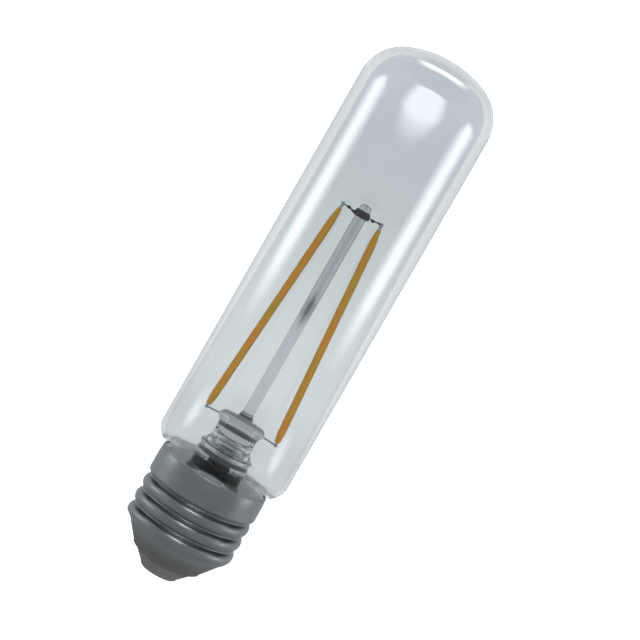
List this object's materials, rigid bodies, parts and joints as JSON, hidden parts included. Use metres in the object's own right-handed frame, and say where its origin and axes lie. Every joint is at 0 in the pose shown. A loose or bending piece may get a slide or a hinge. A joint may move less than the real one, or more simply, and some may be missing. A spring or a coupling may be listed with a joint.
{
  "type": "tubular light bulb",
  "caption": "Clear tubular glass bulb with upright phosphor filaments on a glass stem, a screw cap with an insulated end contact, and a small driver inside the cap.",
  "frame": {"origin": "centre of the end contact's face, where the bulb meets the holder's spring contact", "axes": "+Z along the bulb's axis from the end contact to the dome, +X towards the right filament, so that the filaments stand in the XZ plane"},
  "size_m": [0.032, 0.032, 0.132],
  "materials": {
    "clear_glass": "clear, polished",
    "stem_glass": "clear, slightly grey",
    "cap_metal": "rolled, satin",
    "insulator": "dark, satin",
    "contact_metal": "plated, satin",
    "cement": "matte",
    "wire": "oxidised",
    "tab_metal": "satin",
    "phosphor": "amber, soft",
    "carrier": "matte",
    "die": "polished",
    "board": "solder mask",
    "can": "satin",
    "component": "moulded",
    "resistor": "lacquered"
  },
  "bodies": {
    "root": {"glass_envelope": "clear_glass", "stem_tube": "stem_glass", "exhaust_tube": "stem_glass", "stem_post": "stem_glass", "top_support_wire": "wire", "right_lead_wire": "wire", "left_lead_wire": "wire", "cap_shell": "cap_metal", "cap_insulator": "insulator", "end_contact": "contact_metal", "basing_cement": "cement", "driver_board": "board", "smoothing_capacitor": "can", "choke": "component", "rectifier": "component", "driver_chip": "component", "chip_resistors": "resistor", "fuse_resistor": "resistor", "fuse_leads": "wire", "shell_lead": "wire", "right_filament_strip": "carrier", "right_filament_chips": "die", "right_filament_upper_tab": "tab_metal", "right_filament_lower_tab": "tab_metal", "right_filament_coating": "phosphor", "left_filament_strip": "carrier", "left_filament_chips": "die", "left_filament_upper_tab": "tab_metal", "left_filament_lower_tab": "tab_metal", "left_filament_coating": "phosphor"}
  },
  "joints": []
}
